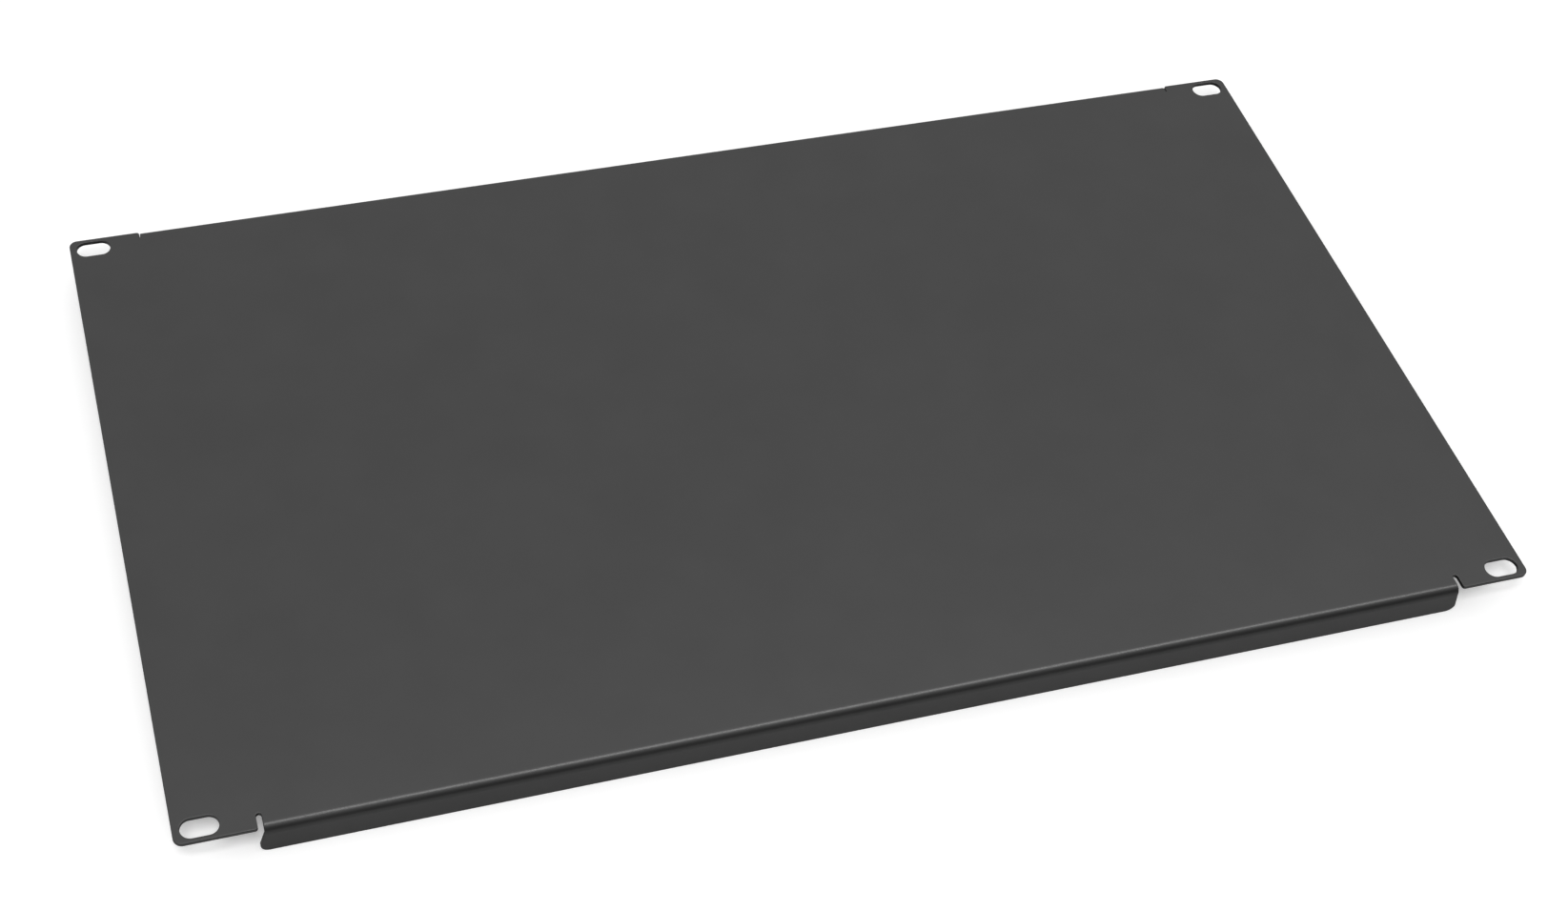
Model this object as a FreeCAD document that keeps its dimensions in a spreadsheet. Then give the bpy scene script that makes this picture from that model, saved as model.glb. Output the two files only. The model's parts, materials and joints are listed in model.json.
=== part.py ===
"""Rack blanking panel: one folded steel sheet that closes six units of a 19 inch rack.

The panel lies face up on the edges of its two flanges. X runs along its width, Y from the front
flange to the back one and Z up through the face. The origin is the bottom centre of its box.
Sizes are in millimetres.
"""
import FreeCAD, Part
import math
import os

import Sketcher
from FreeCAD import Vector

NODE = "panel"

# Driving dimensions: the name of each in the sheet, its value and what it sets.
DRIVING = [
    ("rack_units", 6, "rack units that the panel covers"),
    ("unit_pitch", 44.45, "height of one rack unit"),
    ("stack_gap", 0.8, "height that the panel leaves free within its units"),
    ("rail_spacing", 465.1, "between the hole columns of a 19 inch rack's two rails"),
    ("rail_margin", 6.35, "from the end of a unit to the centre of its first rail hole"),
    ("ear_margin", 8.75, "from a rail's holes out to the ear's tip: 482.6 over all"),
    ("slot_width", 7.0, "mounting slot, across: clears an M6 screw"),
    ("slot_length", 12.5, "mounting slot, end to end along the width"),
    ("sheet", 1.5, "thickness of the steel sheet"),
    ("bend_radius", 1.5, "inside radius of both bends"),
    ("flange_depth", 13.0, "from the face down to the edge of a flange"),
    ("flange_flare", 2.5, "how much wider a flange is at its edge than at its bend, at each end"),
    ("ear_length", 26.5, "from the ear's tip to the bend relief"),
    ("ear_setback", 0.9, "how far the ears' long edges stay behind the flange faces"),
    ("notch_width", 1.8, "bend relief beside the front flange"),
    ("notch_reach", 3.5, "how far the front relief runs past the bend"),
    ("slit_width", 0.5, "bend relief beside the back flange, only a saw cut wide"),
    ("slit_reach", 1.0, "how far the back relief runs past the bend"),
    ("ear_corner", 3.0, "radius of the ears' outer corners"),
    ("notch_corner", 1.0, "radius of the ears' corners at the reliefs"),
    ("flange_corner", 3.0, "radius of the flanges' lower corners"),
    ("flange_waist", 2.0, "radius where a flange's ends begin to spread"),
    ("edge_break", 0.15, "width by which every cut edge is broken"),
]

# Places worked out from them, each a formula in the same sheet.
DERIVED = [
    ("half_width", "=rail_spacing / 2 + ear_margin", "ear tips"),
    ("half_height", "=(rack_units * unit_pitch - stack_gap) / 2", "flange faces"),
    ("ear_edge", "=half_height - ear_setback", "long edges of the ears"),
    ("outer_radius", "=bend_radius + sheet", "outside radius of the bends"),
    ("flat_edge", "=half_height - outer_radius", "where the face ends and the bend begins"),
    ("bend_foot", "=flange_depth - outer_radius", "height where the bend ends and the flange begins"),
    ("ear_root", "=half_width - ear_length", "inner end of the ears"),
    ("notch_end", "=flat_edge - notch_reach + notch_width / 2", "centre of a notch's round end"),
    ("slit_end", "=flat_edge - slit_reach + slit_width / 2", "centre of a slit's round end"),
    ("relief_mouth", "=half_height + notch_width", "where the reliefs open, clear of the sheet"),
    ("front_root", "=ear_root - notch_width", "ends of the front flange at its bend"),
    ("back_root", "=ear_root - slit_width", "ends of the back flange at its bend"),
    ("front_tip", "=front_root + flange_flare", "ends of the front flange at its lower edge"),
    ("back_tip", "=back_root + flange_flare", "ends of the back flange at its lower edge"),
    ("slot_x", "=rail_spacing / 2", "slot centres along the width"),
    ("slot_y", "=rack_units * unit_pitch / 2 - rail_margin", "slot centres along the height"),
    ("slot_reach", "=(slot_length - slot_width) / 2", "from a slot's centre to its end arcs"),
]

START, END, CENTRE = 1, 2, 3  # point positions on a sketch's line or arc
ORIGIN = (-1, 1)  # the sketch's own origin point
FRONT, BACK = -1, 1  # sides of the panel along Y
NEAR = 1e-3  # two places this close are the same place
SMOOTH_ANGLE = math.radians(30)  # faces that meet at less than this run on smoothly


def make_sheet(doc):
    """Spreadsheet with the driving dimensions first and the places worked out from them below."""
    sheet = doc.addObject("Spreadsheet::Sheet", "sizes")
    for row, (alias, content, meaning) in enumerate(DRIVING + DERIVED, start=1):
        sheet.set("A%d" % row, str(content))
        sheet.setAlias("A%d" % row, alias)
        sheet.set("B%d" % row, meaning)
    doc.recompute()
    return sheet


def origin_plane(body, role):
    """One of the body's own origin planes, such as XY_Plane."""
    return next(item for item in body.Origin.OriginFeatures if item.Role == role)


def new_sketch(body, name, role, lift=None):
    """Sketch on one of the body's origin planes, lifted off it by a formula."""
    sketch = body.newObject("Sketcher::SketchObject", name)
    sketch.AttachmentSupport = [(origin_plane(body, role), "")]
    sketch.MapMode = "FlatFace"
    if lift:
        sketch.setExpression("AttachmentOffset.Base.z", lift)
    return sketch


def dimension(sketch, kind, places, alias):
    """Bind a distance or a radius of the sketch to a cell of the sheet."""
    value = sketch.Document.sizes.get(alias)
    index = sketch.addConstraint(Sketcher.Constraint(kind, *places, value))
    sketch.setExpression("Constraints[%d]" % index, "sizes." + alias)


def place(sketch, kind, point, alias, side):
    """Hold a point at a named distance from the origin, on its plus or minus side."""
    ends = ORIGIN + point if side > 0 else point + ORIGIN
    dimension(sketch, kind, ends, alias)


def join(sketch, kind, first, second):
    """Coincident or tangent joint between two ends."""
    sketch.addConstraint(Sketcher.Constraint(kind, *first, *second))


def line(sketch, start, end):
    """Line between two points of the sketch, held level or upright if it is drawn so."""
    index = sketch.addGeometry(Part.LineSegment(Vector(*start, 0), Vector(*end, 0)))
    if start[1] == end[1]:
        sketch.addConstraint(Sketcher.Constraint("Horizontal", index))
    elif start[0] == end[0]:
        sketch.addConstraint(Sketcher.Constraint("Vertical", index))
    return index


def arc(sketch, centre, radius, start_degrees, end_degrees):
    """Arc drawn counterclockwise."""
    circle = Part.Circle(Vector(*centre, 0), Vector(0, 0, 1), radius)
    curve = Part.ArcOfCircle(circle, math.radians(start_degrees), math.radians(end_degrees))
    return sketch.addGeometry(curve)


def stepped_outline(sketch, corners):
    """Closed outline of level and upright lines.

    Each corner is ((x alias, side), (y alias, side)). A line shares one of them with its next
    corner, and that one is the dimension that holds it.
    """
    def point(corner):
        return tuple(side * sketch.Document.sizes.get(alias) for alias, side in corner)

    lines = []
    for here, there in zip(corners, corners[1:] + corners[:1]):
        index = line(sketch, point(here), point(there))
        if lines:
            join(sketch, "Coincident", (lines[-1], END), (index, START))
        lines.append(index)
        axis, kind = (0, "DistanceX") if here[0] == there[0] else (1, "DistanceY")
        place(sketch, kind, (index, START), *here[axis])
    join(sketch, "Coincident", (lines[-1], END), (lines[0], START))


def bent_section(body, sheet):
    """Section through the face and both bends, down to where the flanges begin, on the YZ plane."""
    sketch = new_sketch(body, "bent_section", "YZ_Plane")
    edge, flat, depth, foot = sheet.half_height, sheet.flat_edge, sheet.flange_depth, sheet.bend_foot
    inside, outside, thick = sheet.bend_radius, sheet.outer_radius, sheet.sheet

    front_outer = arc(sketch, (-flat, foot), outside, 90, 180)
    face = line(sketch, (-flat, depth), (flat, depth))
    back_outer = arc(sketch, (flat, foot), outside, 0, 90)
    back_foot = line(sketch, (edge, foot), (edge - thick, foot))
    back_inner = arc(sketch, (flat, foot), inside, 0, 90)
    underside = line(sketch, (flat, depth - thick), (-flat, depth - thick))
    front_inner = arc(sketch, (-flat, foot), inside, 90, 180)
    front_foot = line(sketch, (thick - edge, foot), (-edge, foot))

    for first, second in [
        ((front_outer, START), (face, START)),
        ((face, END), (back_outer, END)),
        ((back_inner, END), (underside, START)),
        ((underside, END), (front_inner, START)),
    ]:
        join(sketch, "Tangent", first, second)
    for first, second in [
        ((back_outer, START), (back_foot, START)),
        ((back_foot, END), (back_inner, START)),
        ((front_inner, END), (front_foot, START)),
        ((front_foot, END), (front_outer, END)),
        ((back_outer, CENTRE), (back_inner, CENTRE)),
        ((front_outer, CENTRE), (front_inner, CENTRE)),
    ]:
        join(sketch, "Coincident", first, second)
    for foot_line, bend in ((front_foot, front_outer), (back_foot, back_outer)):
        place(sketch, "DistanceY", (foot_line, START), "bend_foot", 1)
        sketch.addConstraint(Sketcher.Constraint("PointOnObject", bend, CENTRE, foot_line))

    place(sketch, "DistanceX", (front_foot, END), "half_height", -1)
    place(sketch, "DistanceX", (back_foot, START), "half_height", 1)
    place(sketch, "DistanceY", (face, START), "flange_depth", 1)
    dimension(sketch, "Radius", (back_inner,), "bend_radius")
    return sketch


def flange_outline(body, sheet, name, root, tip, side):
    """Outline of a flange from its bend down to its edge, on the plane of its outer face."""
    lift = "sizes.half_height" if side == FRONT else "-sizes.half_height"
    sketch = new_sketch(body, name, "XZ_Plane", lift=lift)
    foot, near, far = sheet.bend_foot, sheet.get(root), sheet.get(tip)

    bend_line = line(sketch, (-near, foot), (near, foot))
    right_end = line(sketch, (near, foot), (far, 0))
    lip = line(sketch, (far, 0), (-far, 0))
    left_end = line(sketch, (-far, 0), (-near, foot))
    for first, second in [(bend_line, right_end), (right_end, lip),
                          (lip, left_end), (left_end, bend_line)]:
        join(sketch, "Coincident", (first, END), (second, START))
    place(sketch, "DistanceX", (bend_line, START), root, -1)
    place(sketch, "DistanceX", (bend_line, END), root, 1)
    place(sketch, "DistanceY", (bend_line, START), "bend_foot", 1)
    place(sketch, "DistanceX", (lip, START), tip, 1)
    place(sketch, "DistanceX", (lip, END), tip, -1)
    sketch.addConstraint(Sketcher.Constraint("PointOnObject", lip, START, -1))
    return sketch


def face_outline(body):
    """Outline of the flat face with its four ears, on the plane of the face."""
    sketch = new_sketch(body, "face_outline", "XY_Plane", lift="sizes.flange_depth")
    tip, root = "half_width", "ear_root"
    edge, flat = "ear_edge", "flat_edge"
    stepped_outline(sketch, [
        ((tip, -1), (edge, -1)), ((root, -1), (edge, -1)),
        ((root, -1), (flat, -1)), ((root, 1), (flat, -1)),
        ((root, 1), (edge, -1)), ((tip, 1), (edge, -1)),
        ((tip, 1), (edge, 1)), ((root, 1), (edge, 1)),
        ((root, 1), (flat, 1)), ((root, -1), (flat, 1)),
        ((root, -1), (edge, 1)), ((tip, -1), (edge, 1)),
    ])
    return sketch


def relief_outline(body, sheet, name, width, end, side):
    """Bend relief at the right-hand ear: straight sides, a round end and an open mouth."""
    sketch = new_sketch(body, name, "XY_Plane", lift="sizes.flange_depth")
    outer = sheet.ear_root
    inner = outer - sheet.get(width)
    mouth = side * sheet.relief_mouth
    shoulder = side * sheet.get(end)

    ear_side = line(sketch, (outer, mouth), (outer, shoulder))
    flange_side = line(sketch, (inner, shoulder), (inner, mouth))
    across = line(sketch, (inner, mouth), (outer, mouth))
    turn, ear_end, flange_end = ((0, 180), START, END) if side == FRONT else ((180, 360), END, START)
    round_end = arc(sketch, ((outer + inner) / 2, shoulder), (outer - inner) / 2, *turn)
    join(sketch, "Tangent", (ear_side, END), (round_end, ear_end))
    join(sketch, "Tangent", (flange_side, START), (round_end, flange_end))
    join(sketch, "Coincident", (flange_side, END), (across, START))
    join(sketch, "Coincident", (across, END), (ear_side, START))

    place(sketch, "DistanceX", (ear_side, START), "ear_root", 1)
    place(sketch, "DistanceY", (across, START), "relief_mouth", side)
    place(sketch, "DistanceY", (round_end, CENTRE), end, side)
    dimension(sketch, "DistanceX", (across, START, across, END), width)
    return sketch


def slot_outline(body, sheet):
    """Mounting slot of the right-hand back ear: two end arcs joined by level lines."""
    sketch = new_sketch(body, "slot_outline", "XY_Plane", lift="sizes.flange_depth")
    radius = sheet.slot_width / 2
    left, right = sheet.slot_x - sheet.slot_reach, sheet.slot_x + sheet.slot_reach
    low, high = sheet.slot_y - radius, sheet.slot_y + radius

    right_end = arc(sketch, (right, sheet.slot_y), radius, -90, 90)
    top = line(sketch, (right, high), (left, high))
    left_end = arc(sketch, (left, sheet.slot_y), radius, 90, 270)
    bottom = line(sketch, (left, low), (right, low))
    join(sketch, "Tangent", (right_end, END), (top, START))
    join(sketch, "Tangent", (top, END), (left_end, START))
    join(sketch, "Tangent", (left_end, END), (bottom, START))
    join(sketch, "Tangent", (bottom, END), (right_end, START))

    centre = sketch.addGeometry(Part.Point(Vector(sheet.slot_x, sheet.slot_y, 0)), True)
    sketch.addConstraint(Sketcher.Constraint(
        "Symmetric", left_end, CENTRE, right_end, CENTRE, centre, START))
    place(sketch, "DistanceX", (centre, START), "slot_x", 1)
    place(sketch, "DistanceY", (centre, START), "slot_y", 1)
    dimension(sketch, "DistanceX", (centre, START, right_end, CENTRE), "slot_reach")
    dimension(sketch, "DistanceY", (bottom, START, top, END), "slot_width")
    return sketch


def pad(body, name, sketch, length):
    """Solid drawn out of a sketch by a formula's length."""
    feature = body.newObject("PartDesign::Pad", name)
    feature.Profile = sketch
    feature.setExpression("Length", length)
    return feature


def cut_through(body, name, sketch):
    """Pocket down through everything below the face."""
    feature = body.newObject("PartDesign::Pocket", name)
    feature.Profile = sketch
    feature.Type = "ThroughAll"
    return feature


def mirror(body, name, originals, roles):
    """Mirror cuts to the other side of the body's origin planes."""
    planes = [(origin_plane(body, role), [""]) for role in roles]
    if len(planes) == 1:
        feature = body.newObject("PartDesign::Mirrored", name)
        feature.Originals = originals
        feature.MirrorPlane = planes[0]
    else:
        feature = body.newObject("PartDesign::MultiTransform", name)
        feature.Originals = originals
        steps = []
        for number, plane in enumerate(planes, start=1):
            step = body.newObject("PartDesign::Mirrored", "%s_%d" % (name, number))
            step.MirrorPlane = plane
            steps.append(step)
        feature.Transformations = steps
    body.Tip = feature
    return feature


def dress_edges(body, name, kind, wanted, alias):
    """Fillet or chamfer the edges of the body's last feature that the test picks."""
    base = body.Tip
    names = ["Edge%d" % number
             for number, edge in enumerate(base.Shape.Edges, start=1) if wanted(edge)]
    feature = body.newObject("PartDesign::" + kind, name)
    feature.Base = (base, names)
    feature.setExpression("Radius" if kind == "Fillet" else "Size", "sizes." + alias)
    body.Document.recompute()


def is_upright(edge):
    """A straight edge across the thickness of the face."""
    box = edge.BoundBox
    return edge.Curve.TypeId == "Part::GeomLine" and max(box.XLength, box.YLength) < NEAR


def is_sharp(shape, edge):
    """An edge where two faces meet at an angle, not one where they run on smoothly."""
    spot = edge.valueAt((edge.FirstParameter + edge.LastParameter) / 2)
    normals = [face.normalAt(*face.Surface.parameter(spot))
               for face in shape.ancestorsOfType(edge, Part.Face)]
    return len(normals) == 2 and normals[0].getAngle(normals[1]) > SMOOTH_ANGLE


def make_panel(doc, sheet):
    """The folded sheet: face and flanges, reliefs and slots, then its rounded corners and edges."""
    body = doc.addObject("PartDesign::Body", NODE)
    body.Label = NODE

    bent = pad(body, "bent_face", bent_section(body, sheet), "2 * sizes.ear_root")
    bent.Midplane = True
    ears = pad(body, "ears", face_outline(body), "sizes.sheet")
    ears.Reversed = True
    doc.recompute()

    notch = cut_through(body, "notch", relief_outline(
        body, sheet, "notch_outline", "notch_width", "notch_end", FRONT))
    slit = cut_through(body, "slit", relief_outline(
        body, sheet, "slit_outline", "slit_width", "slit_end", BACK))
    mirror(body, "reliefs", [notch, slit], ["YZ_Plane"])
    slot = cut_through(body, "slot", slot_outline(body, sheet))
    mirror(body, "slots", [slot], ["YZ_Plane", "XZ_Plane"])
    front_flange = pad(body, "front_flange", flange_outline(
        body, sheet, "front_flange_outline", "front_root", "front_tip", FRONT), "sizes.sheet")
    front_flange.Reversed = True
    pad(body, "back_flange", flange_outline(
        body, sheet, "back_flange_outline", "back_root", "back_tip", BACK), "sizes.sheet")
    doc.recompute()

    def at(value, alias):
        return abs(abs(value) - sheet.get(alias)) < NEAR

    def is_ear_corner(edge):
        spot = edge.CenterOfMass
        return is_upright(edge) and at(spot.x, "half_width") and at(spot.y, "ear_edge")

    def is_notch_corner(edge):
        spot = edge.CenterOfMass
        return is_upright(edge) and at(spot.x, "ear_root") and at(spot.y, "ear_edge")

    def is_flange_corner(edge):
        box = edge.BoundBox
        return box.ZMax < NEAR and box.XLength < NEAR

    def is_flange_waist(edge):
        box = edge.BoundBox
        return max(box.XLength, box.ZLength) < NEAR and at(box.ZMax, "bend_foot")

    dress_edges(body, "ear_corners", "Fillet", is_ear_corner, "ear_corner")
    dress_edges(body, "notch_corners", "Fillet", is_notch_corner, "notch_corner")
    dress_edges(body, "flange_corners", "Fillet", is_flange_corner, "flange_corner")
    dress_edges(body, "flange_waists", "Fillet", is_flange_waist, "flange_waist")
    cornered = body.Tip.Shape
    dress_edges(body, "broken_edges", "Chamfer",
                lambda edge: is_sharp(cornered, edge), "edge_break")
    return body


def check(doc, body):
    """Stop on a failed object, a cut that removes nothing or a panel that isn't one sound solid."""
    for item in doc.Objects:
        if {"Invalid", "Error"} & set(item.State):
            raise RuntimeError("%s failed: %s" % (item.Label, item.getStatusString()))
    volume = {item.Name: item.Shape.Volume for item in body.Group
              if item.isDerivedFrom("PartDesign::Feature") and not item.Shape.isNull()}
    for before, after in [("ears", "notch"), ("notch", "slit"), ("slit", "reliefs"),
                          ("reliefs", "slot"), ("slot", "slots")]:
        if volume[after] >= volume[before]:
            raise RuntimeError("%s removes nothing from the sheet" % after)
    shape = body.Shape
    if shape.isNull() or not shape.isValid() or len(shape.Solids) != 1:
        raise RuntimeError("%s isn't one sound solid" % body.Label)


def main():
    doc = FreeCAD.newDocument("rack_blanking_panel")
    body = make_panel(doc, make_sheet(doc))
    doc.recompute()
    check(doc, body)
    os.makedirs("parts", exist_ok=True)
    body.Shape.exportStep("parts/%s.step" % body.Label)


main()
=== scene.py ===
"""Looks of the rack blanking panel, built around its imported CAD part."""

import json
import math

import bmesh
import bpy
from mathutils import Matrix, Vector
from mathutils.geometry import delaunay_2d_cdt


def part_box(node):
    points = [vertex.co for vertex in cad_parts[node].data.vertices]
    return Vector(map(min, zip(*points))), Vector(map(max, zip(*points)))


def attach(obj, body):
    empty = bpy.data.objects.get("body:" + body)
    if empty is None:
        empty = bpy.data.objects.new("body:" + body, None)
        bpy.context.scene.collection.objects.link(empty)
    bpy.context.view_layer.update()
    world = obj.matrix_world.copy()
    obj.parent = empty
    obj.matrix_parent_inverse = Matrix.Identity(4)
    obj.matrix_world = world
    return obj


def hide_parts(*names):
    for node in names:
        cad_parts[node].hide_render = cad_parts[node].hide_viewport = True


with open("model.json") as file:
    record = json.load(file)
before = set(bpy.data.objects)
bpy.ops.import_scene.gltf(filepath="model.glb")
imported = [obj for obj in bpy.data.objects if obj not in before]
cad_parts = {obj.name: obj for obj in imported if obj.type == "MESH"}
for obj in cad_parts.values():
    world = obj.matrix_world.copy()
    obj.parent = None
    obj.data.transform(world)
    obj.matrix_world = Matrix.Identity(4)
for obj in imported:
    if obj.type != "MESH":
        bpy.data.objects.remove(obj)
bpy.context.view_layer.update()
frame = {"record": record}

MM = 0.001

# The folded sheet. Overall sizes come from the frame, and these are its details.
SHEET = 1.5 * MM  # thickness of the steel with its paint
BEND_RADIUS = 1.5 * MM  # inside the bends
EAR_LENGTH = 26.5 * MM
EAR_SETBACK = 0.9 * MM  # from the flange faces back to the ears' long edges
EAR_CORNER = 3.0 * MM
NOTCH_WIDTH, NOTCH_REACH = 1.8 * MM, 3.5 * MM  # front bend reliefs, and how far past the bend
NOTCH_CORNER = 1.0 * MM
SLIT_WIDTH, SLIT_REACH = 0.3 * MM, 1.0 * MM  # back bend reliefs, 0.2 mm narrower than the solid's
FLANGE_FLARE = 2.5 * MM  # how much wider a flange gets towards its edge, at each end
FLANGE_WAIST = 2.0 * MM  # radius where it starts to
FLANGE_CORNER = 3.0 * MM
EDGE_ROUND = 0.22 * MM  # how round the paint leaves every cut edge
OUTER_RADIUS = BEND_RADIUS + SHEET
BEND_LENGTH = OUTER_RADIUS * math.pi / 2  # along the outside of a bend

low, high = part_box("panel")
HALF_WIDTH = high.x
HALF_HEIGHT = high.y
FACE = high.z
EAR_EDGE = HALF_HEIGHT - EAR_SETBACK
EAR_ROOT = HALF_WIDTH - EAR_LENGTH
FLAT_EDGE = HALF_HEIGHT - OUTER_RADIUS
BEND_END = FLAT_EDGE + BEND_LENGTH  # this and the next are measured on the sheet laid flat
BLANK_EDGE = BEND_END + (FACE - low.z - OUTER_RADIUS)

slots = next(m for m in frame["record"]["mounts"] if m["name"] == "rail_slots")["dims"]
SLOT_X = slots["spacing_x_mm"] * MM / 2
SLOT_Y = slots["spacing_y_mm"] * MM / 2
SLOT_RADIUS = slots["hole_r_mm"] * MM
SLOT_REACH = slots["slot_length_mm"] * MM / 2 - SLOT_RADIUS


# ---- the sheet laid flat: its outline and its slots ----

ROUND_STEP = math.radians(9)  # turn of an arc from one point to the next
BEND_STEPS = 14  # facets round each bend
SUPPORT = 0.35 * MM  # flat border that keeps the shading of an edge off the face
RIM_STEPS = 4  # facets of a rounded edge
SAME = 0.001 * MM  # two places this close are the same place
SNAP = 0.01 * MM  # a corner this close to a line across a bend is moved onto it


def corner_points(before, corner, after, radius):
    """Points of a rounded corner, each with the normal that points out of the sheet."""
    first = (corner - before).normalized()
    second = (after - corner).normalized()
    turn = math.atan2(first.cross(second), first.dot(second))
    side = 1 if turn > 0 else -1
    start = Vector((first.y, -first.x))
    tangent = radius * math.tan(abs(turn) / 2)
    centre = corner - first * tangent - start * radius * side
    steps = max(2, math.ceil(abs(turn) / ROUND_STEP))
    points = []
    for step in range(steps + 1):
        normal = start.copy()
        normal.rotate(Matrix.Rotation(turn * step / steps, 2))
        points.append((centre + normal * radius * side, normal))
    return points


def rounded_loop(corners):
    """Closed outline through rounded corners, each (x, y, radius), with the sheet on its left."""
    loop = []
    for number, (x, y, radius) in enumerate(corners):
        before = Vector(corners[number - 1][:2])
        after = Vector(corners[(number + 1) % len(corners)][:2])
        loop += corner_points(before, Vector((x, y)), after, radius)
    return without_repeats(loop)


def without_repeats(loop):
    """The loop without points that fall on the one before them."""
    return [item for number, item in enumerate(loop)
            if (item[0] - loop[number - 1][0]).length > SAME]


def bend_rows():
    """Distances from the middle of the blank of every line across a bend, with one support
    line on the flat to each side of it."""
    rows = [FLAT_EDGE + BEND_LENGTH * step / BEND_STEPS for step in range(BEND_STEPS + 1)]
    return [rows[0] - 2 * SUPPORT] + rows + [rows[-1] + 2 * SUPPORT]


def on_fold(point):
    """Whether a point of the outline is on what folds down, not on an ear."""
    return abs(point.x) < EAR_ROOT - SAME or abs(point.y) > HALF_HEIGHT


def with_bend_rows(loop):
    """The outline with a point wherever a line across a bend meets a flange's end.

    Such a point's normal is level, so that the point stays on its line when it is set in.
    """
    def level(normal):
        return Vector((1 / normal.x, 0))

    rows = [side * row for side in (-1, 1) for row in bend_rows()]
    snapped = []
    for point, normal in loop:
        near = [row for row in rows if abs(row - point.y) < SNAP]
        if near and on_fold(point):
            point, normal = Vector((point.x, near[0])), level(normal)
        snapped.append((point, normal))
    result = []
    for number, (point, normal) in enumerate(snapped):
        before, before_normal = snapped[number - 1]
        if on_fold(before) and on_fold(point):
            bottom, top = sorted((before.y, point.y))
            crossed = [row for row in rows if bottom + SAME < row < top - SAME]
            for row in sorted(crossed, key=lambda row: abs(row - before.y)):
                share = (row - before.y) / (point.y - before.y)
                x = before.x + (point.x - before.x) * share
                result.append((Vector((x, row)), level(before_normal.lerp(normal, share))))
        result.append((point, normal))
    return result


def blank_outline():
    """Outline of the sheet before it is folded."""
    front_root, back_root = EAR_ROOT - NOTCH_WIDTH, EAR_ROOT - SLIT_WIDTH
    notch_y, slit_y = FLAT_EDGE - NOTCH_REACH, FLAT_EDGE - SLIT_REACH
    right = [
        (front_root + FLANGE_FLARE, -BLANK_EDGE, FLANGE_CORNER),
        (front_root, -BEND_END, FLANGE_WAIST),
        (front_root, -notch_y, NOTCH_WIDTH / 2),
        (EAR_ROOT, -notch_y, NOTCH_WIDTH / 2),
        (EAR_ROOT, -EAR_EDGE, NOTCH_CORNER),
        (HALF_WIDTH, -EAR_EDGE, EAR_CORNER),
        (HALF_WIDTH, EAR_EDGE, EAR_CORNER),
        (EAR_ROOT, EAR_EDGE, NOTCH_CORNER),
        (EAR_ROOT, slit_y, SLIT_WIDTH / 2),
        (back_root, slit_y, SLIT_WIDTH / 2),
        (back_root, BEND_END, FLANGE_WAIST),
        (back_root + FLANGE_FLARE, BLANK_EDGE, FLANGE_CORNER),
    ]
    left = [(-x, y, radius) for x, y, radius in reversed(right)]
    return with_bend_rows(rounded_loop(right + left))


def slot_loop(x, y):
    """One mounting slot, drawn clockwise so that the sheet is on its left."""
    points = []
    steps = math.ceil(math.pi / ROUND_STEP)
    for side in (1, -1):
        for step in range(steps + 1):
            angle = side * math.pi / 2 - math.pi * step / steps
            out = Vector((math.cos(angle), math.sin(angle)))
            centre = Vector((x + side * SLOT_REACH, y))
            points.append((centre + out * SLOT_RADIUS, -out))
    return points


def rim_profile():
    """How far each ring of a cut edge is set in from the outline and lies below the face."""
    rings = []
    for step in range(RIM_STEPS + 1):
        angle = math.pi / 2 * step / RIM_STEPS
        rings.append((EDGE_ROUND * (1 - math.sin(angle)), EDGE_ROUND * (1 - math.cos(angle))))
    rings.insert(0, (EDGE_ROUND + SUPPORT, 0))
    return rings + [(inset, SHEET - depth) for inset, depth in reversed(rings)]


def cap_faces(loops):
    """Faces that fill the sheet between the outline, the slots and the lines across the bends.

    Returns lists of positions in the loops' points, counted on from loop to loop.
    """
    points, edges = [], []
    for loop in loops:
        first = len(points)
        points += loop
        edges += [(first + n, first + (n + 1) % len(loop)) for n in range(len(loop))]
    for row in bend_rows():
        for side in (-1, 1):
            ends = [n for n, point in enumerate(points[:len(loops[0])])
                    if abs(point.y - side * row) < SAME and abs(point.x) < EAR_ROOT - SAME]
            edges.append(tuple(ends))
    filled = delaunay_2d_cdt([point / MM for point in points], edges, [], 5, 1e-6)
    origin = [sources[0] for sources in filled[3]]
    faces = [[origin[n] for n in face] for face in filled[2]]
    loop_of = [number for number, loop in enumerate(loops) for point in loop]
    return [face for face in faces  # without those that would close a slot
            if loop_of[face[0]] == 0 or len({loop_of[n] for n in face}) > 1]


def flat_blank():
    """Mesh of the cut sheet before it is folded: its face at height 0, its thickness below."""
    loops = [blank_outline()] + [slot_loop(x, y) for x in (-SLOT_X, SLOT_X)
                                 for y in (-SLOT_Y, SLOT_Y)]
    mesh = bmesh.new()
    rings = []  # for every ring of the rim, its vertices on each loop
    for inset, depth in rim_profile():
        rings.append([[mesh.verts.new((point.x - normal.x * inset, point.y - normal.y * inset, -depth))
                       for point, normal in loop] for loop in loops])
    for above, below in zip(rings, rings[1:]):
        for top, bottom in zip(above, below):
            for n in range(len(top)):
                after = (n + 1) % len(top)
                mesh.faces.new((top[n], bottom[n], bottom[after], top[after]))
    caps = cap_faces([[vertex.co.xy for vertex in loop] for loop in rings[0]])
    for ring, turned in ((rings[0], False), (rings[-1], True)):
        vertices = [vertex for loop in ring for vertex in loop]
        for face in caps:
            corners = [vertices[n] for n in face]
            mesh.faces.new(reversed(corners) if turned else corners)
    for face in mesh.faces:
        face.smooth = True
    blank = bpy.data.meshes.new("flat_blank")
    mesh.to_mesh(blank)
    mesh.free()
    return blank


# ---- folding ----

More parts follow.
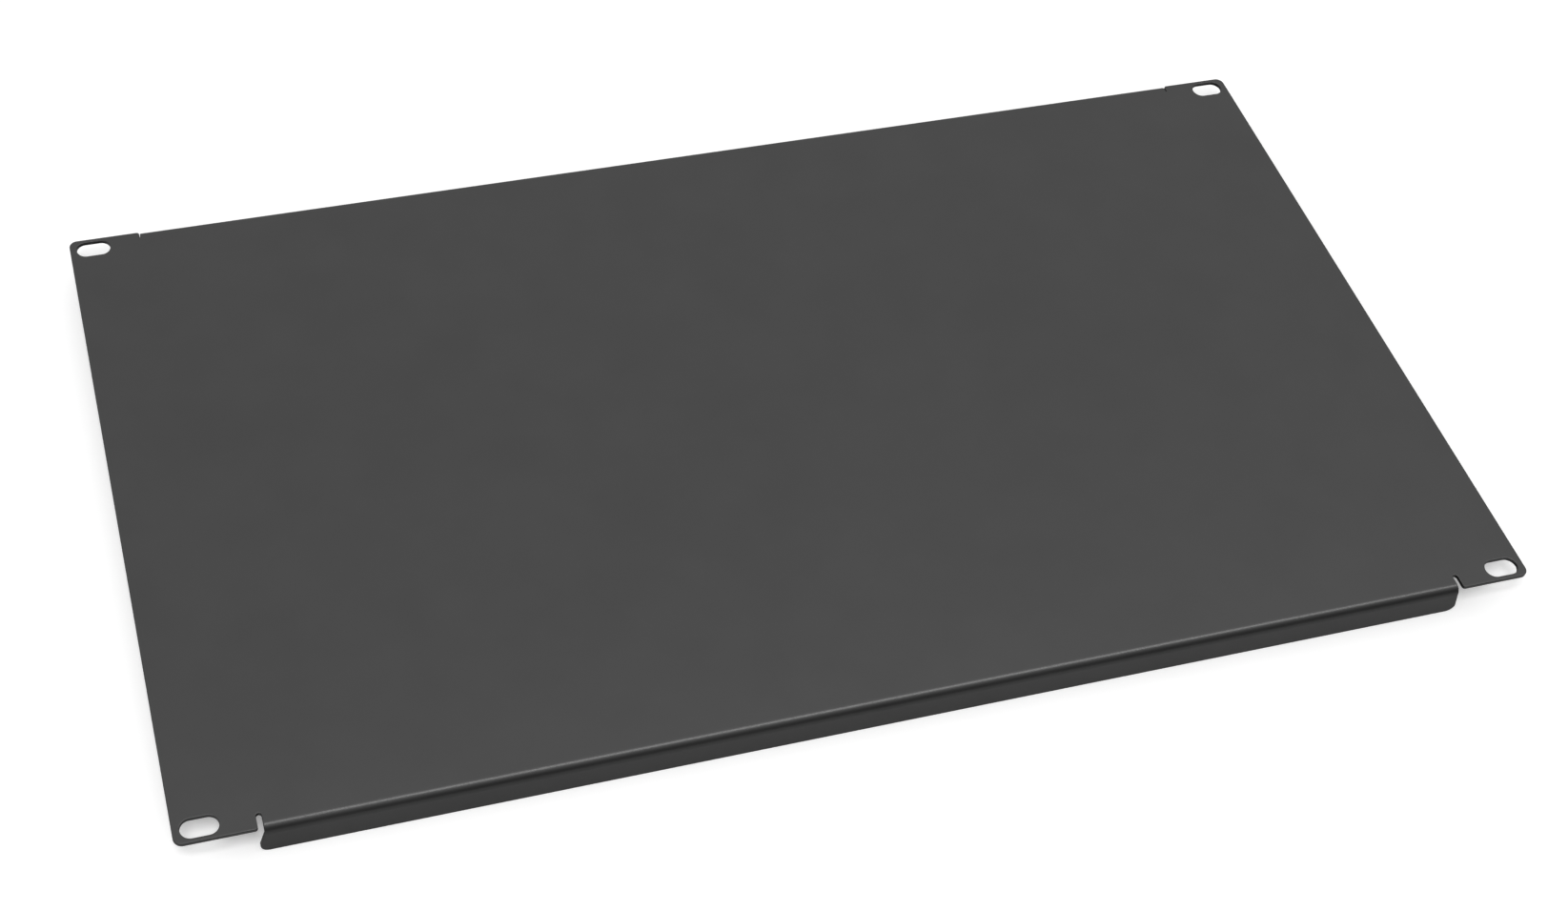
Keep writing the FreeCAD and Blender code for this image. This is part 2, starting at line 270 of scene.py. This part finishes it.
def calculate(tree, operation, *values):
    """Math node on numbers or sockets; returns its output socket."""
    node = tree.nodes.new("ShaderNodeMath")
    node.operation = operation
    for socket, value in zip(node.inputs, values):
        if isinstance(value, bpy.types.NodeSocket):
            tree.links.new(value, socket)
        else:
            socket.default_value = value
    return node.outputs[0]


def fold_tree():
    """Geometry nodes that fold the middle of a flat blank down at both long edges."""
    tree = bpy.data.node_groups.new("fold_flanges", "GeometryNodeTree")
    tree.interface.new_socket("Geometry", in_out="INPUT", socket_type="NodeSocketGeometry")
    for name in ("Flat Edge", "Outer Radius", "Fold End", "Ear Edge", "Face Height"):
        tree.interface.new_socket(name, in_out="INPUT", socket_type="NodeSocketFloat")
    tree.interface.new_socket("Material", in_out="INPUT", socket_type="NodeSocketMaterial")
    tree.interface.new_socket("Geometry", in_out="OUTPUT", socket_type="NodeSocketGeometry")
    given = tree.nodes.new("NodeGroupInput").outputs
    flat_edge, radius = given["Flat Edge"], given["Outer Radius"]

    position = tree.nodes.new("GeometryNodeInputPosition").outputs[0]
    split = tree.nodes.new("ShaderNodeSeparateXYZ")
    tree.links.new(position, split.inputs[0])
    x, y, z = split.outputs

    reach = calculate(tree, "SUBTRACT", calculate(tree, "ABSOLUTE", y), flat_edge)
    past = calculate(tree, "MAXIMUM", reach, 0.0)
    angle = calculate(tree, "MINIMUM", calculate(tree, "DIVIDE", past, radius), math.pi / 2)
    straight = calculate(tree, "SUBTRACT", past, calculate(tree, "MULTIPLY", radius, angle))
    fibre = calculate(tree, "ADD", radius, z)  # radius at the depth of this point
    out = calculate(tree, "ADD", calculate(tree, "SUBTRACT", reach, past), flat_edge)
    out = calculate(tree, "MULTIPLY_ADD", fibre, calculate(tree, "SINE", angle), out)
    out = calculate(tree, "MULTIPLY", out, calculate(tree, "SIGN", y))
    up = calculate(tree, "MULTIPLY", fibre, calculate(tree, "COSINE", angle))
    up = calculate(tree, "SUBTRACT", calculate(tree, "SUBTRACT", up, radius), straight)

    folded = tree.nodes.new("ShaderNodeCombineXYZ")
    for value, socket in zip((x, out, up), folded.inputs):
        tree.links.new(value, socket)
    bend = tree.nodes.new("GeometryNodeSetPosition")
    tree.links.new(given["Geometry"], bend.inputs["Geometry"])
    inside = calculate(tree, "LESS_THAN", calculate(tree, "ABSOLUTE", x), given["Fold End"])
    beyond = calculate(tree, "GREATER_THAN", calculate(tree, "ABSOLUTE", y), given["Ear Edge"])
    folds = calculate(tree, "MAXIMUM", inside, beyond)
    tree.links.new(folds, bend.inputs["Selection"])
    tree.links.new(folded.outputs[0], bend.inputs["Position"])

    lift = tree.nodes.new("GeometryNodeTransform")
    height = tree.nodes.new("ShaderNodeCombineXYZ")
    tree.links.new(given["Face Height"], height.inputs["Z"])
    tree.links.new(bend.outputs[0], lift.inputs["Geometry"])
    tree.links.new(height.outputs[0], lift.inputs["Translation"])
    realize = tree.nodes.new("GeometryNodeRealizeInstances")
    paint = tree.nodes.new("GeometryNodeSetMaterial")
    tree.links.new(lift.outputs[0], realize.inputs[0])
    tree.links.new(realize.outputs[0], paint.inputs["Geometry"])
    tree.links.new(given["Material"], paint.inputs["Material"])
    output = tree.nodes.new("NodeGroupOutput")
    tree.links.new(paint.outputs[0], output.inputs[0])
    return tree


def apply_tree(mesh, name, tree, values):
    """Object made from a mesh by a node tree with the given inputs, as a plain mesh."""
    piece = bpy.data.objects.new(name, mesh)
    bpy.context.scene.collection.objects.link(piece)
    modifier = piece.modifiers.new(name, "NODES")
    modifier.node_group = tree
    sockets = {item.name: item.identifier for item in tree.interface.items_tree
               if item.in_out == "INPUT"}
    for label, value in values.items():
        modifier[sockets[label]] = value
    result = piece.evaluated_get(bpy.context.evaluated_depsgraph_get())
    made = bpy.data.meshes.new_from_object(result)
    piece.modifiers.clear()
    piece.data = made
    return piece


def folded_panel(material):
    """The visible panel: the flat blank with both flanges folded down."""
    piece = apply_tree(flat_blank(), "folded_panel", fold_tree(), {
        "Flat Edge": FLAT_EDGE,
        "Outer Radius": OUTER_RADIUS,
        "Fold End": EAR_ROOT - SLIT_WIDTH / 2,
        "Ear Edge": (EAR_EDGE + HALF_HEIGHT) / 2,
        "Face Height": FACE,
        "Material": material,
    })
    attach(piece, "root")
    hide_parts("panel")
    return piece


# ---- finish ----

def powder_coat():
    """Matt black powder coat on steel."""
    material = bpy.data.materials.new("black_powder_coat")
    material.use_nodes = True
    nodes, links = material.node_tree.nodes, material.node_tree.links
    shader = nodes["Principled BSDF"]
    place = nodes.new("ShaderNodeTexCoord").outputs["Object"]

    cloud = nodes.new("ShaderNodeTexNoise")
    cloud.inputs["Scale"].default_value = 45
    cloud.inputs["Detail"].default_value = 4
    links.new(place, cloud.inputs["Vector"])
    tone = nodes.new("ShaderNodeMapRange")
    tone.inputs["From Min"].default_value = 0.3
    tone.inputs["From Max"].default_value = 0.7
    tone.inputs["To Min"].default_value = 0.014
    tone.inputs["To Max"].default_value = 0.018
    links.new(cloud.outputs["Fac"], tone.inputs["Value"])
    links.new(tone.outputs["Result"], shader.inputs["Base Color"])

    grain = nodes.new("ShaderNodeTexNoise")
    grain.inputs["Scale"].default_value = 1800
    grain.inputs["Detail"].default_value = 2
    links.new(place, grain.inputs["Vector"])
    bump = nodes.new("ShaderNodeBump")
    bump.inputs["Strength"].default_value = 0.25
    bump.inputs["Distance"].default_value = 0.00004
    links.new(grain.outputs["Fac"], bump.inputs["Height"])
    links.new(bump.outputs["Normal"], shader.inputs["Normal"])
    shader.inputs["Roughness"].default_value = 0.35
    shader.inputs["Specular IOR Level"].default_value = 0.62
    return material


# ---- stage, light and camera ----

FLOOR_TONE, MIRRORED_FLOOR = 0.92, 0.42  # the floor itself, and as the paint mirrors it
FLOOR_GLOW = 0.24  # added for the camera alone, so that the open floor is white
ROOM_LIGHT = 0.65  # strength of the room's own light
MIRRORED_AXIS = Vector((0, math.sin(math.radians(20)), math.cos(math.radians(20))))
MIRRORED_LOW, MIRRORED_HIGH = 0.03, 0.9  # room as mirrored: low in front, and about the axis
MIRRORED_START, MIRRORED_END = 0.15, 0.85  # cosines to the axis between which it brightens
FLOOR_HALF = 4  # metres from the middle of the floor to its edges
FLOOR_GAP = 0.02 * MM  # between the floor and the flanges
KEY_PLACE, KEY_SIDE, KEY_POWER = (-0.45, -0.75, 1.7), 0.7, 14.5
OVERHEAD_PLACE, OVERHEAD_AIM = (0.45, -0.06, 1.6), (0.45, -0.06, 0)
OVERHEAD_WIDTH, OVERHEAD_DEPTH, OVERHEAD_POWER = 2.0, 0.4, 16

AZIMUTH, ELEVATION, ROLL = math.radians(-20.313), math.radians(51.388), math.radians(6.431)
CAMERA_AIM = Vector((-66.15 * MM, -10.89 * MM, FACE))
CAMERA_DISTANCE = 823.4 * MM
FOCAL_LENGTH, SENSOR_WIDTH, SHIFT = 52.65, 36, 0.1095


def floor():
    """Plain white floor that takes the panel's shadow."""
    mesh = bmesh.new()
    bmesh.ops.create_grid(mesh, x_segments=1, y_segments=1, size=FLOOR_HALF)
    data = bpy.data.meshes.new("floor")
    mesh.to_mesh(data)
    mesh.free()
    ground = bpy.data.objects.new("floor", data)
    ground.location.z = low.z - FLOOR_GAP
    bpy.context.scene.collection.objects.link(ground)

    material = bpy.data.materials.new("white_floor")
    material.use_nodes = True
    nodes, links = material.node_tree.nodes, material.node_tree.links
    paper = nodes["Principled BSDF"]
    paper.inputs["Roughness"].default_value = 0.9
    ray = nodes.new("ShaderNodeLightPath").outputs
    tone = nodes.new("ShaderNodeMapRange")
    tone.inputs["To Min"].default_value = FLOOR_TONE
    tone.inputs["To Max"].default_value = MIRRORED_FLOOR
    links.new(ray["Is Glossy Ray"], tone.inputs["Value"])
    links.new(tone.outputs["Result"], paper.inputs["Base Color"])
    glow = nodes.new("ShaderNodeEmission")
    gain = nodes.new("ShaderNodeMath")
    gain.operation = "MULTIPLY"
    gain.inputs[1].default_value = FLOOR_GLOW
    links.new(ray["Is Camera Ray"], gain.inputs[0])
    links.new(gain.outputs[0], glow.inputs["Strength"])
    both = nodes.new("ShaderNodeAddShader")
    links.new(paper.outputs[0], both.inputs[0])
    links.new(glow.outputs[0], both.inputs[1])
    links.new(both.outputs[0], nodes["Material Output"].inputs["Surface"])
    data.materials.append(material)


def softbox(name, place, aim, width, depth, power):
    """Rectangular area light that faces a point, its width along X as nearly as that allows."""
    light = bpy.data.lights.new(name, "AREA")
    light.shape = "RECTANGLE"
    light.size, light.size_y = width, depth
    light.energy = power
    lamp = bpy.data.objects.new(name, light)
    lamp.location = place
    back = (Vector(place) - Vector(aim)).normalized()
    up = back.cross(Vector((1, 0, 0))).normalized()
    lamp.rotation_euler = Matrix((up.cross(back), up, back)).transposed().to_euler()
    bpy.context.scene.collection.objects.link(lamp)
    return lamp


def studio():
    """White room that looks darker low in front when mirrored, a key light that isn't mirrored,
    and a long box overhead that is only mirrored."""
    world = bpy.data.worlds.new("studio")
    bpy.context.scene.world = world
    world.use_nodes = True
    nodes, links = world.node_tree.nodes, world.node_tree.links
    room = nodes["Background"]
    room.inputs["Color"].default_value = (1, 1, 1, 1)
    way = nodes.new("ShaderNodeTexCoord").outputs["Generated"]
    along = nodes.new("ShaderNodeVectorMath")
    along.operation = "DOT_PRODUCT"
    along.inputs[1].default_value = MIRRORED_AXIS
    links.new(way, along.inputs[0])
    mirrored = nodes.new("ShaderNodeMapRange")
    mirrored.interpolation_type = "SMOOTHSTEP"
    mirrored.inputs["From Min"].default_value = MIRRORED_START
    mirrored.inputs["From Max"].default_value = MIRRORED_END
    mirrored.inputs["To Min"].default_value = MIRRORED_LOW
    mirrored.inputs["To Max"].default_value = MIRRORED_HIGH
    links.new(along.outputs["Value"], mirrored.inputs["Value"])

    ray = nodes.new("ShaderNodeLightPath").outputs
    level = 0.0  # what each kind of ray finds, the last one over the others
    for kind, strength in (("Is Diffuse Ray", ROOM_LIGHT), ("Is Glossy Ray", mirrored.outputs["Result"]),
                           ("Is Camera Ray", 1.0)):
        mix = nodes.new("ShaderNodeMix")
        links.new(ray[kind], mix.inputs["Factor"])
        for socket, value in (("A", level), ("B", strength)):
            if isinstance(value, float):
                mix.inputs[socket].default_value = value
            else:
                links.new(value, mix.inputs[socket])
        level = mix.outputs["Result"]
    links.new(level, room.inputs["Strength"])

    key = softbox("key", KEY_PLACE, (0, 0, 0), KEY_SIDE, KEY_SIDE, KEY_POWER)
    key.visible_glossy = False
    overhead = softbox("overhead", OVERHEAD_PLACE, OVERHEAD_AIM,
                       OVERHEAD_WIDTH, OVERHEAD_DEPTH, OVERHEAD_POWER)
    overhead.visible_diffuse = False


def camera():
    """Long lens above the front left, turned a little about its axis."""
    away = Vector((math.sin(AZIMUTH) * math.cos(ELEVATION),
                   -math.cos(AZIMUTH) * math.cos(ELEVATION), math.sin(ELEVATION)))
    data = bpy.data.cameras.new("camera")
    data.sensor_width = SENSOR_WIDTH
    data.lens = FOCAL_LENGTH
    data.shift_x = SHIFT
    lens = bpy.data.objects.new("camera", data)
    level = away.to_track_quat("Z", "Y")
    lens.rotation_euler = (level.to_matrix() @ Matrix.Rotation(ROLL, 3, "Z")).to_euler()
    lens.location = CAMERA_AIM + away * CAMERA_DISTANCE
    bpy.context.scene.collection.objects.link(lens)
    bpy.context.scene.camera = lens


folded_panel(powder_coat())
floor()
studio()
camera()
bpy.context.scene.view_settings.view_transform = "Standard"
